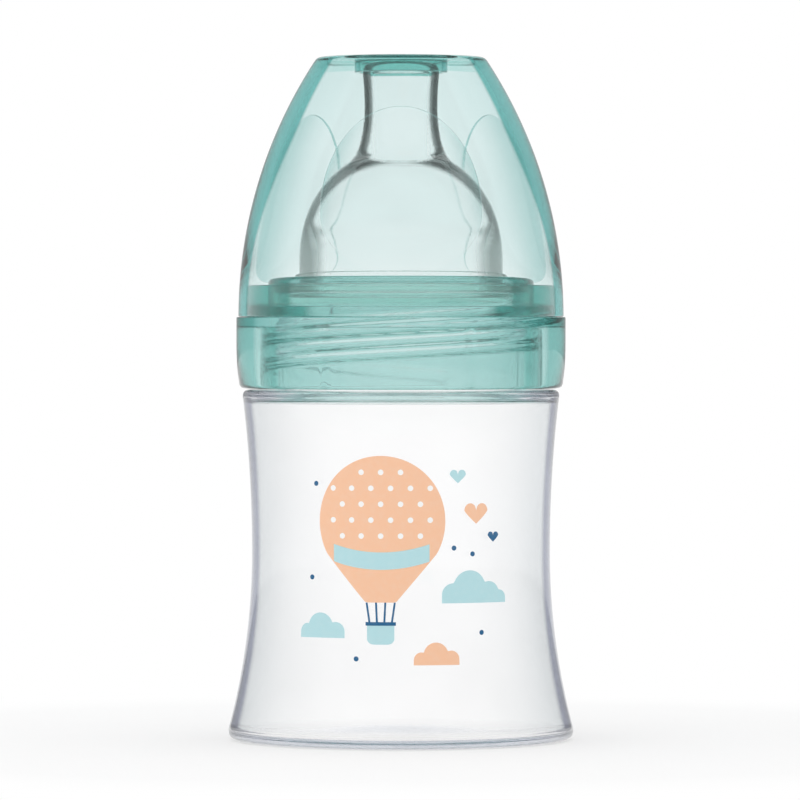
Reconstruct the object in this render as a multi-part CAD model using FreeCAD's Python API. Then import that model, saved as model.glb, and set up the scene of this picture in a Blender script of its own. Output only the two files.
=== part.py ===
import FreeCAD, Part
import math
import os

# A small wide-neck baby bottle: waisted bottle, screw ring, teat and domed cap.
# Millimetres, +Z up. The origin is the centre of the foot, on the surface it stands on.

# Bottle
neck_radius = 24.6
neck_wall = 1.8
neck_height = 19.5
neck_root_round = 1.0
rim_round = 0.6
shoulder_width = 7.2
shoulder_height = 69.9
shoulder_thickness = 1.8
shoulder_round = 1.6
waist_depth = 2.0
waist_height = 37.5
base_flare = 5.3
foot_round = 2.8
foot_inset = 7.6
wall_at_waist = 1.7
wall_at_ends = 1.0
floor_thickness = 1.6
floor_round = 2.0
push_up = 1.8

# Screw ring
thread_depth = 1.3
thread_clearance = 0.3
ring_clearance = 0.3
sleeve_wall = 1.7
sleeve_setback = 0.5
groove_width = 1.0
groove_draft = 0.6
groove_roof = 1.9
skirt_wall = 4.0
skirt_taper = 0.7
skirt_taper_height = 8.5
skirt_round = 0.9
cap_seat_width = 1.9
cap_seat_drop = 8.3
boss_wall = 1.1
boss_drop = 1.9
boss_round = 0.5
moat_floor = 2.0
plate_step = 4.4
plate_thickness = 1.5
plate_round = 1.2

# Teat
flange_clearance = 0.6
flange_width = 5.2
flange_thickness = 1.8
lip_clearance = 0.3
lip_wall = 1.6
lip_depth = 1.2
hole_clearance = 0.3
bead_clearance = 0.1
bead_overhang = 0.5
bead_height = 1.1
bead_round = 0.4
collar_height = 4.3
breast_height = 18.6
breast_wall = 2.0
nipple_root_radius = 9.2
nipple_root_round = 2.0
nipple_waist_radius = 7.3
nipple_waist_height = 10.3
nipple_tip_radius = 7.95
nipple_tip_height = 9.1
nipple_tip_round = 2.8
nipple_wall = 2.0
tip_wall = 1.8
feed_hole_radius = 0.4
base_wall = 4.8
inner_bead_height = 8.1
inner_bead_depth = 0.7
inner_bead_slope = 4.5

# Cap
cap_inset = 0.4
cap_rim_clearance = 0.2
cap_bore_clearance = 0.25
cap_wall = 2.2
cap_top_radius = 16.75
cap_top_thickness = 1.2
cap_top_round = 1.4
tip_clearance = 0.1
plug_clearance = 0.25
plug_wall = 1.1
plug_depth = 2.2
panel_count = 3
panel_half_width = 15.8
panel_centre_height = 20.3
panel_rise = 21.0
panel_drop = 12.2
panel_depth = 0.5

# Heights and radii where one piece meets another
neck_bore = neck_radius - neck_wall
rim_height = shoulder_height + neck_height
shoulder_radius = neck_radius + shoulder_width
waist_radius = shoulder_radius - waist_depth
base_radius = waist_radius + base_flare

sleeve_bore = neck_radius + thread_depth + thread_clearance
sleeve_radius = sleeve_bore + sleeve_wall
groove_radius = sleeve_radius + groove_width
ring_radius = groove_radius + skirt_wall
ring_bottom = shoulder_height + ring_clearance
plate_bottom = rim_height + flange_thickness
plate_top = plate_bottom + plate_thickness
seat_height = plate_top - cap_seat_drop
boss_radius = ring_radius - cap_seat_width
boss_top = plate_top - boss_drop
plate_radius = boss_radius - plate_step

flange_radius = sleeve_bore - flange_clearance
teat_radius = flange_radius - flange_width
hole_radius = teat_radius + hole_clearance
breast_bottom = plate_top + collar_height
nipple_root = breast_bottom + breast_height
nipple_waist = nipple_root + nipple_waist_height
tip_top = nipple_waist + nipple_tip_height

cap_rim = seat_height + cap_rim_clearance
cap_radius = ring_radius - cap_inset
cap_bore = boss_radius + cap_bore_clearance
cap_ceiling = tip_top + tip_clearance
cap_top = cap_ceiling + cap_top_thickness

SAME_PLACE = 1e-4
FULL_TURN = 360.0
UP = FreeCAD.Vector(0, 0, 1)
DOWN = FreeCAD.Vector(0, 0, -1)
OUT = FreeCAD.Vector(1, 0, 0)
IN = FreeCAD.Vector(-1, 0, 0)
SIDE = FreeCAD.Vector(0, 1, 0)
CENTRE = FreeCAD.Vector(0, 0, 0)


def leaving_arc(start, end, tangent):
    """Arc from start to end that sets off along the tangent."""
    chord = end - start
    normal = SIDE.cross(tangent)
    radius = chord.dot(chord) / (2 * chord.dot(normal))
    centre = start + normal * radius
    to_middle = (start - centre) + (end - centre)
    to_middle.normalize()
    return Part.Arc(start, centre + to_middle * abs(radius), end).toShape()


class Section:
    """A half-section drawn by radius and height, then turned about the Z axis."""

    def __init__(self, radius, height):
        self.first = FreeCAD.Vector(radius, 0, height)
        self.last = self.first
        self.edges = []

    def add(self, edge, end):
        self.edges.append(edge)
        self.last = end

    def line(self, radius, height):
        end = FreeCAD.Vector(radius, 0, height)
        self.add(Part.LineSegment(self.last, end).toShape(), end)

    def arc_through(self, middle_radius, middle_height, radius, height):
        middle = FreeCAD.Vector(middle_radius, 0, middle_height)
        end = FreeCAD.Vector(radius, 0, height)
        self.add(Part.Arc(self.last, middle, end).toShape(), end)

    def arc_leaving(self, tangent, radius, height):
        end = FreeCAD.Vector(radius, 0, height)
        self.add(leaving_arc(self.last, end, tangent), end)

    def arc_arriving(self, tangent, radius, height):
        end = FreeCAD.Vector(radius, 0, height)
        self.add(leaving_arc(end, self.last, tangent * -1), end)

    def turned(self):
        self.line(self.first.x, self.first.z)
        face = Part.Face(Part.Wire(self.edges))
        return face.revolve(CENTRE, UP, FULL_TURN)


class Dome:
    """An arc that starts upright at its foot and leans in to end at its top."""

    def __init__(self, foot_radius, foot_height, top_radius, top_height):
        rise = top_height - foot_height
        draw_in = foot_radius - top_radius
        self.arc_radius = (rise ** 2 + draw_in ** 2) / (2 * draw_in)
        self.centre_radius = foot_radius - self.arc_radius
        self.foot_height = foot_height

    def radius_at(self, height, depth):
        """Radius at a height, on the curve that lies this deep under the outer one."""
        rise = height - self.foot_height
        return self.centre_radius + math.sqrt((self.arc_radius - depth) ** 2 - rise ** 2)

    def height_at(self, radius, depth):
        """Height at a radius, on the curve that lies this deep under the outer one."""
        reach = radius - self.centre_radius
        return self.foot_height + math.sqrt((self.arc_radius - depth) ** 2 - reach ** 2)

    def draw(self, section, start, end, depth):
        """Add the curve from one height to another to a section."""
        middle = (start + end) / 2
        section.arc_through(self.radius_at(middle, depth), middle, self.radius_at(end, depth), end)


def circle_edge(solid, radius, height):
    """The circular edge of a turned solid at this radius and height."""
    for edge in solid.Edges:
        if edge.Degenerated or not isinstance(edge.Curve, Part.Circle):
            continue
        off_radius = abs(edge.Curve.Radius - radius)
        off_height = abs(edge.Curve.Center.z - height)
        if off_radius < SAME_PLACE and off_height < SAME_PLACE:
            return edge
    raise ValueError(f"no edge at radius {radius}, height {height}")


def rounded(solid, fillet, radius, height):
    """The solid with one circular edge rounded."""
    return solid.makeFillet(fillet, [circle_edge(solid, radius, height)])


def make_bottle():
    """Waisted bottle with a flared foot, a pushed-up underside and a wide neck."""
    foot_inside = base_radius - foot_inset
    ceiling = shoulder_height - shoulder_thickness
    inner_shoulder = shoulder_radius - wall_at_ends
    inner_waist = waist_radius - wall_at_waist
    inner_base = base_radius - wall_at_ends

    section = Section(0, push_up)
    section.arc_leaving(OUT, foot_inside, 0)
    section.line(base_radius, 0)
    section.arc_arriving(UP, waist_radius, waist_height)
    section.arc_leaving(UP, shoulder_radius, shoulder_height)
    section.line(neck_radius, shoulder_height)
    section.line(neck_radius, rim_height)
    section.line(neck_bore, rim_height)
    section.line(neck_bore, ceiling)
    section.line(inner_shoulder, ceiling)
    section.arc_arriving(DOWN, inner_waist, waist_height)
    section.arc_leaving(DOWN, inner_base, floor_thickness)
    section.line(foot_inside, floor_thickness)
    section.arc_arriving(IN, 0, push_up + floor_thickness)
    bottle = section.turned()

    bottle = rounded(bottle, foot_round, base_radius, 0)
    bottle = rounded(bottle, shoulder_round, shoulder_radius, shoulder_height)
    bottle = rounded(bottle, neck_root_round, neck_radius, shoulder_height)
    bottle = rounded(bottle, rim_round, neck_radius, rim_height)
    bottle = rounded(bottle, rim_round, neck_bore, rim_height)
    bottle = rounded(bottle, neck_root_round, neck_bore, ceiling)
    bottle = rounded(bottle, neck_root_round, inner_shoulder, ceiling)
    bottle = rounded(bottle, floor_round, inner_base, floor_thickness)
    return bottle


def make_screw_ring():
    """Ring with a threaded sleeve, a drafted groove, a snap boss and a top plate."""
    groove_top = seat_height - groove_roof
    skirt_bottom_radius = ring_radius - skirt_taper
    moat_bottom = seat_height + moat_floor
    boss_bore = boss_radius - boss_wall

    section = Section(sleeve_bore, plate_bottom)
    section.line(sleeve_bore, ring_bottom + sleeve_setback)
    section.line(sleeve_radius, ring_bottom + sleeve_setback)
    section.line(sleeve_radius, groove_top)
    section.line(groove_radius, groove_top)
    section.line(groove_radius + groove_draft, ring_bottom)
    section.line(skirt_bottom_radius, ring_bottom)
    section.arc_arriving(UP, ring_radius, ring_bottom + skirt_taper_height)
    section.line(ring_radius, seat_height)
    section.line(boss_radius, seat_height)
    section.line(boss_radius, boss_top)
    section.line(boss_bore, boss_top)
    section.line(boss_bore, moat_bottom)
    section.line(plate_radius, moat_bottom)
    section.line(plate_radius, plate_top)
    section.line(hole_radius, plate_top)
    section.line(hole_radius, plate_bottom)
    ring = section.turned()

    ring = rounded(ring, skirt_round, skirt_bottom_radius, ring_bottom)
    ring = rounded(ring, boss_round, boss_radius, boss_top)
    ring = rounded(ring, plate_round, plate_radius, plate_top)
    return ring


def make_teat():
    """Soft teat: sealing flange, snap bead, rounded breast and a waisted nipple."""
    bead_radius = hole_radius + bead_overhang
    bead_bottom = plate_top + bead_clearance
    bead_top = bead_bottom + bead_height
    lip_radius = neck_bore - lip_clearance
    base_bore = teat_radius - base_wall
    inner_bead = plate_bottom + inner_bead_height
    slope_top = inner_bead + inner_bead_slope
    waist_bore = nipple_waist_radius - nipple_wall
    tip_bore = nipple_tip_radius - nipple_wall
    breast = Dome(teat_radius, breast_bottom, nipple_root_radius, nipple_root)
    inner_root = breast.height_at(waist_bore, breast_wall)

    section = Section(feed_hole_radius, tip_top)
    section.line(feed_hole_radius, tip_top - tip_wall)
    section.line(tip_bore, tip_top - tip_wall)
    section.arc_arriving(DOWN, waist_bore, nipple_waist)
    section.line(waist_bore, inner_root)
    breast.draw(section, inner_root, slope_top, breast_wall)
    section.line(base_bore - inner_bead_depth, inner_bead)
    section.line(base_bore, plate_top)
    section.line(base_bore, rim_height)
    section.line(lip_radius - lip_wall, rim_height)
    section.line(lip_radius - lip_wall, rim_height - lip_depth)
    section.line(lip_radius, rim_height - lip_depth)
    section.line(lip_radius, rim_height)
    section.line(flange_radius, rim_height)
    section.line(flange_radius, plate_bottom)
    section.line(teat_radius, plate_bottom)
    section.line(teat_radius, bead_bottom)
    section.line(bead_radius, bead_bottom)
    section.line(bead_radius, bead_top)
    section.line(teat_radius, bead_top)
    section.line(teat_radius, breast_bottom)
    breast.draw(section, breast_bottom, nipple_root, 0)
    section.arc_arriving(UP, nipple_waist_radius, nipple_waist)
    section.arc_leaving(UP, nipple_tip_radius, tip_top)
    teat = section.turned()

    teat = rounded(teat, nipple_tip_round, nipple_tip_radius, tip_top)
    teat = rounded(teat, nipple_root_round, nipple_root_radius, nipple_root)
    teat = rounded(teat, bead_round, bead_radius, bead_top)
    teat = rounded(teat, bead_round, bead_radius, bead_bottom)
    return teat


def half_oval(half_width, reach, height):
    """Half an oval in the XZ plane: to both sides by half_width, up or down by reach."""
    half = Part.Arc(OUT, UP, IN).toShape()
    stretch = FreeCAD.Matrix()
    stretch.scale(half_width, 1.0, reach)
    oval = half.transformGeometry(stretch)
    oval.translate(UP * height)
    return oval


def make_cap():
    """Domed cap with a seat for the ring's boss, a plug round the tip and egg panels."""
    dome = Dome(cap_radius, cap_rim, cap_top_radius, cap_top)
    plug_bore = nipple_tip_radius + plug_clearance
    plug_radius = plug_bore + plug_wall
    plug_bottom = cap_ceiling - plug_depth

    section = Section(cap_bore, cap_rim)
    section.line(cap_radius, cap_rim)
    dome.draw(section, cap_rim, cap_top, 0)
    section.line(0, cap_top)
    section.line(0, cap_ceiling)
    section.line(plug_bore, cap_ceiling)
    section.line(plug_bore, plug_bottom)
    section.line(plug_radius, plug_bottom)
    section.line(plug_radius, cap_ceiling)
    section.line(dome.radius_at(cap_ceiling, cap_wall), cap_ceiling)
    dome.draw(section, cap_ceiling, boss_top, cap_wall)
    section.line(cap_bore, boss_top)
    cap = rounded(section.turned(), cap_top_round, dome.radius_at(cap_top, 0), cap_top)

    floor_section = Section(0, cap_rim)
    floor_section.line(dome.radius_at(cap_rim, panel_depth), cap_rim)
    dome.draw(floor_section, cap_rim, cap_top, panel_depth)
    floor_section.line(0, cap_top)
    panel_floor = floor_section.turned()

    panel_height = cap_rim + panel_centre_height
    upper = half_oval(panel_half_width, panel_rise, panel_height)
    lower = half_oval(panel_half_width, -panel_drop, panel_height)
    outline = Part.Face(Part.Wire([upper, lower]))
    panel = outline.extrude(SIDE * -cap_radius).cut(panel_floor)
    for index in range(panel_count):
        turned = panel.copy()
        turned.rotate(CENTRE, UP, index * FULL_TURN / panel_count)
        cap = cap.cut(turned)
    return cap


NODES = {
    "bottle": make_bottle,
    "screw_ring": make_screw_ring,
    "teat": make_teat,
    "cap": make_cap,
}

os.makedirs("parts", exist_ok=True)
for name, make in NODES.items():
    shape = make()
    print(name, "solids", len(shape.Solids), "valid", shape.isValid(), "volume", round(shape.Volume, 1))
    shape.exportStep(f"parts/{name}.step")
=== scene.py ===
"""A wide-neck baby bottle with a screw ring, a soft teat and a domed cap, dressed around its solids."""

import logging
import math
from dataclasses import dataclass, field
from enum import Enum
from functools import cached_property
from typing import Callable

import bpy
from mathutils import Matrix, Vector


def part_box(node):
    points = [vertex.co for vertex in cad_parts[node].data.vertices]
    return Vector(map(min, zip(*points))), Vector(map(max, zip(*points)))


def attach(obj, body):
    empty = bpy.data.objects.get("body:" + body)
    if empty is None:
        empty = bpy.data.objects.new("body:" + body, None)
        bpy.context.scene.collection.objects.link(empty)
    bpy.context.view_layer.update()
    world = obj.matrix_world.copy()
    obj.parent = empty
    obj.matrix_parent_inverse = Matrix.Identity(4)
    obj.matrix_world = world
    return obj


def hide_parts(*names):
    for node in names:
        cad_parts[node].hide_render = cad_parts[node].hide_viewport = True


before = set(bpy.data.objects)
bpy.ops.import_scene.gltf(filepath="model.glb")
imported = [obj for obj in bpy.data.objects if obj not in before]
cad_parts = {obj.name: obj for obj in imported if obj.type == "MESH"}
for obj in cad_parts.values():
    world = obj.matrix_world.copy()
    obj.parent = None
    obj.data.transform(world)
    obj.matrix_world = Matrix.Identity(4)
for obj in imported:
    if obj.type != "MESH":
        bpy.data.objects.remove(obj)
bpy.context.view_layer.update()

MM = 0.001
TAU = 2 * math.pi
MERGE_DISTANCE = 1e-6
SMOOTH_ANGLE = math.radians(35)
FRONT_ANGLE = -90.0
RIM_SHADE_MARK = "rim_shade_start"
NO_BAND = 2.0
PANEL_MARK = "panel"
DEEP_MARK = "deep"
INSIDE_MARK = "inside"
NODE_GAP = 220
WHITE = (1.0, 1.0, 1.0)
BLACK = (0.0, 0.0, 0.0)
LOG = logging.getLogger("baby_bottle")

Colour = tuple[float, float, float]
Point = tuple[float, float, float]
Place = tuple[float, float]
Span = tuple[float, float]
Value = "float | Colour | Sock"
Marker = Callable[[float, float], float]
Edge = Callable[[float], float]


class Heading(Enum):
    """The way in which an outline runs, by radius and height."""

    UP = (0.0, 1.0)
    DOWN = (0.0, -1.0)
    OUT = (1.0, 0.0)
    IN = (-1.0, 0.0)


class Ink(Enum):
    """The printed colours."""

    PEACH = "peach"
    AQUA = "aqua"
    NAVY = "navy"
    WHITE = "white"


def smooth_step(value: float) -> float:
    """A soft step from 0 at value 0 to 1 at value 1."""
    held = min(max(value, 0.0), 1.0)
    return held * held * (3 - 2 * held)


class Sock:
    """A shader socket that takes part in Python arithmetic."""

    def __init__(self, graph: "Graph", socket: bpy.types.NodeSocket) -> None:
        """Wrap one output socket of a graph."""
        self.graph = graph
        self.socket = socket

    def math(self, operation: str, first: Value, second: Value) -> "Sock":
        """Add a Math node.

        Args:
            operation: the Math node's operation.
            first: its first value.
            second: its second value.

        Returns:
            The node's result.
        """
        settings = {"operation": operation}
        return self.graph.add("ShaderNodeMath", settings, {0: first, 1: second})

    def __add__(self, other: Value) -> "Sock":
        """This plus another value."""
        return self.math("ADD", self, other)

    __radd__ = __add__

    def __sub__(self, other: Value) -> "Sock":
        """This less another value."""
        return self.math("SUBTRACT", self, other)

    def __rsub__(self, other: Value) -> "Sock":
        """Another value less this."""
        return self.math("SUBTRACT", other, self)

    def __mul__(self, other: Value) -> "Sock":
        """This times another value."""
        return self.math("MULTIPLY", self, other)

    __rmul__ = __mul__

    def __truediv__(self, other: Value) -> "Sock":
        """This over another value."""
        return self.math("DIVIDE", self, other)

    def larger(self, other: Value) -> "Sock":
        """The larger of this and another value."""
        return self.math("MAXIMUM", self, other)

    def step(self, low: float, high: float) -> "Sock":
        """A soft step.

        Args:
            low: the value where the step is 0.
            high: the value where the step is 1.

        Returns:
            The step.
        """
        settings = {"interpolation_type": "SMOOTHSTEP"}
        return self.graph.add("ShaderNodeMapRange", settings, {0: self, 1: low, 2: high})


class Graph:
    """The nodes of one material or of the world."""

    def __init__(self, owner: bpy.types.ID, output: str) -> None:
        """Empty the owner's node tree and give it an output node.

        Args:
            owner: a material or the world.
            output: the type of its output node.
        """
        owner.use_nodes = True
        self.tree = owner.node_tree
        self.tree.nodes.clear()
        self.output = self.tree.nodes.new(output)

    def node(self, kind: str, settings: dict | None = None, inputs: dict | None = None) -> bpy.types.Node:
        """Add a node.

        Args:
            kind: the node's type.
            settings: its properties, which are set first.
            inputs: values or links of its sockets, by name or number.

        Returns:
            The node.
        """
        node = self.tree.nodes.new(kind)
        node.location.x = -NODE_GAP * len(self.tree.nodes)
        for name, value in (settings or {}).items():
            setattr(node, name, value)
        for key, value in (inputs or {}).items():
            self.feed(node.inputs[key], value)
        return node

    def feed(self, socket: bpy.types.NodeSocket, value: Value) -> None:
        """Link a socket or set its value.

        Args:
            socket: the input to fill.
            value: a wrapped socket, a number or a colour.
        """
        if isinstance(value, Sock):
            self.tree.links.new(value.socket, socket)
        elif isinstance(value, tuple) and socket.type == "RGBA":
            socket.default_value = (*value, 1.0)
        else:
            socket.default_value = value

    def add(self, kind: str, settings: dict | None = None, inputs: dict | None = None,
            out: str | int = 0) -> Sock:
        """Add a node and take one of its outputs.

        Args:
            kind: the node's type.
            settings: its properties.
            inputs: values or links of its sockets.
            out: the output that is wanted, by name or number.

        Returns:
            The output, wrapped.
        """
        return Sock(self, self.node(kind, settings, inputs).outputs[out])

    def mixed(self, factor: Value, first: Value, second: Value) -> Sock:
        """Mix two colours.

        Args:
            factor: share of the second colour.
            first: first colour.
            second: second colour.

        Returns:
            The mixed colour.
        """
        inputs = {0: factor, 6: first, 7: second}
        return self.add("ShaderNodeMix", {"data_type": "RGBA"}, inputs, 2)

    def place(self) -> Sock:
        """Object coordinates."""
        return self.add("ShaderNodeTexCoord", out="Object")

    def noise(self, place: Sock, scale: float, detail: float = 2.0) -> Sock:
        """Add a noise texture.

        Args:
            place: coordinates.
            scale: waves in a metre.
            detail: layers of finer noise.

        Returns:
            The noise, from 0 to 1.
        """
        inputs = {"Vector": place, "Scale": scale, "Detail": detail}
        return self.add("ShaderNodeTexNoise", None, inputs)

    def bump(self, height: Sock, strength: float, distance: float, under: Sock | None = None) -> Sock:
        """Add a bump.

        Args:
            height: the pattern that is raised.
            strength: how much of it shows.
            distance: its height in metres.
            under: a bump that lies under it.

        Returns:
            The bumped normal.
        """
        inputs = {"Strength": strength, "Distance": distance, "Height": height}
        if under is not None:
            inputs["Normal"] = under
        return self.add("ShaderNodeBump", None, inputs)

    def marked(self, name: str) -> Sock:
        """The value that each face of a piece carries under a name."""
        return self.add("ShaderNodeAttribute", {"attribute_name": name}, None, "Fac")

    def ray(self, kind: str) -> Sock:
        """1 for a ray of a kind that Light Path tells apart, and 0 for others."""
        return self.add("ShaderNodeLightPath", out=f"Is {kind} Ray")

    def finish(self, socket: str, shader: Sock) -> None:
        """Link a shader to the output node."""
        self.feed(self.output.inputs[socket], shader)


@dataclass(frozen=True)
class ClearFinish:
    """A moulded see-through plastic or rubber, which takes up light on its way through.

    The edge colour is painted rim shade: it darkens the grazing rim of the walls in place of a long way
    through them and of dark reflections, and a painted grey tint leads up to it. A span holds the two values
    between which a change comes in, and bump heights are in metres.
    """

    name: str
    face: Colour
    veil_shade: Colour
    edge: Colour
    edge_soft: float
    kept: Colour
    density: float
    ior: float
    smooth: float
    rough: float
    ripple: float
    ripple_scale: float
    edge_from: float = NO_BAND
    edge_fade: float = 0.0
    rim_from: float = -0.35
    deep: Colour = WHITE
    deep_rim_shade: Colour | None = None
    panel_edge_shade: Colour = WHITE
    panel_rough: float = 0.0
    fade_span: Span = (0.8, 0.95)
    veil_shade_span: Span = (0.0, 0.75)
    rimless_span: Span = (1.0, 1.5)
    panel_shade_span: Span = (0.11, 0.24)
    clouding: float = 0.985
    cloud_span: Span = (0.35, 0.7)
    rough_span: Span = (0.3, 0.75)
    ripple_height: float = 0.0004
    grain: float = 0.15
    grain_scale: float = 2600.0
    grain_detail: float = 3.0
    grain_height: float = 0.00004

    def colour(self, graph: Graph, flow: Sock, panel: Sock) -> Sock:
        """Mix the colour that light takes on at the surface, with painted shade at the grazing rim, a painted
        grey tint towards it and painted shade on panel faces seen edge on.

        Args:
            graph: the finish's nodes.
            flow: the uneven flow of the moulding, from 0 to 1.
            panel: 1 on the faces of a panel.

        Returns:
            The colour.
        """
        start = graph.marked(RIM_SHADE_MARK)
        deep = graph.marked(DEEP_MARK)
        facing = graph.add("ShaderNodeLayerWeight", None, {"Blend": 0.5}, "Facing")
        # Painted shade: past its marked start, the grazing rim turns to the edge colour.
        rim = ((facing - start) / self.edge_soft).step(0.0, 1.0)
        rim = rim * (1 - self.edge_fade * facing.step(*self.fade_span))
        # Painted shade: a grey tint that grows towards the rim of marked walls.
        veil_shade_mask = facing.step(*self.veil_shade_span) * (1 - start.step(*self.rimless_span))
        # Painted shade on panel faces, stronger where they turn away.
        panel_shade_mask = facing.step(*self.panel_shade_span) * panel
        clouded = tuple(self.clouding * channel for channel in self.face)
        face = graph.mixed(flow.step(*self.cloud_span), self.face, clouded)
        # On the bottle's floor, the deep colour is a painted milky reflection; elsewhere it marks thick
        # places.
        face = graph.mixed(deep, face, self.deep)
        # The painted rim shade is paler or deeper on thick places.
        edge = graph.mixed(deep, self.edge, self.deep_rim_shade or self.edge)
        wall = graph.mixed(rim, graph.mixed(veil_shade_mask, face, self.veil_shade), edge)
        return graph.mixed(panel_shade_mask, wall, self.panel_edge_shade)

    def material(self) -> bpy.types.Material:
        """Build the finish.

        Returns:
            The material.
        """
        material = bpy.data.materials.new(self.name)
        graph = Graph(material, "ShaderNodeOutputMaterial")
        place = graph.place()
        flow = graph.noise(place, self.ripple_scale)
        fine = graph.noise(place, self.grain_scale, self.grain_detail)
        panel = graph.marked(PANEL_MARK)
        roughness = self.smooth + (self.rough - self.smooth) * flow.step(*self.rough_span)
        wave = graph.bump(flow, self.ripple, self.ripple_height)
        shader = graph.add("ShaderNodeBsdfPrincipled", None, {
            "Base Color": self.colour(graph, flow, panel),
            "Roughness": roughness + self.panel_rough * panel,
            "IOR": self.ior,
            "Transmission Weight": 1.0,
            "Normal": graph.bump(fine * panel, self.grain, self.grain_height, wave)})
        graph.finish("Surface", shader)
        taken_up = {"Color": self.kept, "Density": self.density}
        graph.finish("Volume", graph.add("ShaderNodeVolumeAbsorption", None, taken_up))
        return material


@dataclass(frozen=True)
class InkFinish:
    """A satin, slightly uneven screen-printed colour, whose inner side glows with painted light in place of
    light shining through the ink.
    """

    ink: Ink
    colour: Colour
    inner_glow: float = 0.5
    layer_scale: float = 900.0
    layer_detail: float = 3.0
    layer_span: Span = (0.35, 0.75)
    thinned: float = 0.94
    paled: float = 0.05
    smooth: float = 0.34
    roughened: float = 0.16
    mesh: float = 0.12
    mesh_scale: float = 5200.0
    mesh_height: float = 0.00002

    def material(self) -> bpy.types.Material:
        """Build the finish.

        Returns:
            The material.
        """
        material = bpy.data.materials.new(f"print_{self.ink.value}")
        graph = Graph(material, "ShaderNodeOutputMaterial")
        place = graph.place()
        layer = graph.noise(place, self.layer_scale, self.layer_detail)
        mesh = graph.noise(place, self.mesh_scale)
        thin = tuple(self.thinned * channel + self.paled for channel in self.colour)
        # Painted light: the inner side glows with part of the ink's colour, though it is no lamp.
        through = tuple(self.inner_glow * channel for channel in self.colour)
        shader = graph.add("ShaderNodeBsdfPrincipled", None, {
            "Base Color": graph.mixed(layer.step(*self.layer_span), self.colour, thin),
            "Roughness": self.smooth + self.roughened * layer,
            "Normal": graph.bump(mesh, self.mesh, self.mesh_height),
            "Emission Color": graph.mixed(graph.marked(INSIDE_MARK), BLACK, through),
            "Emission Strength": 1.0})
        graph.finish("Surface", shader)
        return material


# Painted shade and reflection in the finishes: the edge colours darken the grazing rims, the grey tint
# colours lead up to them, and the bottle's deep colour is a milky reflection on its floor.
BOTTLE_PLASTIC = ClearFinish(
    name="clear_bottle_plastic", face=WHITE, veil_shade=(0.60, 0.645, 0.665), edge=(0.105, 0.12, 0.19),
    edge_from=0.63, edge_soft=0.10, kept=(0.80, 0.82, 0.87), density=22.0, ior=1.4,
    smooth=0.03, rough=0.09, ripple=0.05, ripple_scale=60.0, rim_from=0.95, deep=(0.58, 0.645, 0.74))
TEAL_RING = ClearFinish(
    name="teal_ring_plastic", face=(0.97, 1.0, 0.995), veil_shade=(0.84, 0.96, 0.94), edge=(0.26, 0.60, 0.56),
    edge_from=0.5, edge_soft=0.08, kept=(0.20, 0.62, 0.60), density=80.0, ior=1.24,
    smooth=0.03, rough=0.10, ripple=0.06, ripple_scale=70.0, deep=(0.80, 0.92, 0.90),
    deep_rim_shade=(0.03, 0.30, 0.26))
# Painted shade: the cap's panel edge colour darkens its panel faces where they are seen edge on.
TEAL_CAP = ClearFinish(
    name="teal_cap_plastic", face=(0.985, 1.0, 1.0), veil_shade=(0.88, 0.95, 0.95), edge=(0.055, 0.35, 0.33),
    edge_from=0.48, edge_soft=0.05, kept=(0.20, 0.62, 0.60), density=75.0, ior=1.42,
    smooth=0.01, rough=0.05, ripple=0.03, ripple_scale=50.0, rim_from=0.6, deep=(0.50, 0.80, 0.77),
    panel_edge_shade=(0.28, 0.54, 0.52), panel_rough=0.04)
SILICONE = ClearFinish(
    name="clear_silicone", face=WHITE, veil_shade=(0.98, 0.98, 0.98), edge=(0.08, 0.088, 0.086),
    edge_soft=0.1, kept=(0.95, 0.95, 0.945), density=30.0, ior=1.1,
    smooth=0.04, rough=0.10, ripple=0.04, ripple_scale=120.0, edge_fade=0.6,
    deep_rim_shade=(0.42, 0.45, 0.44))
INKS = {
    Ink.PEACH: InkFinish(Ink.PEACH, (0.93, 0.55, 0.35)),
    Ink.AQUA: InkFinish(Ink.AQUA, (0.46, 0.72, 0.76)),
    Ink.NAVY: InkFinish(Ink.NAVY, (0.004, 0.114, 0.265)),
    Ink.WHITE: InkFinish(Ink.WHITE, (0.93, 0.93, 0.92)),
}


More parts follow.
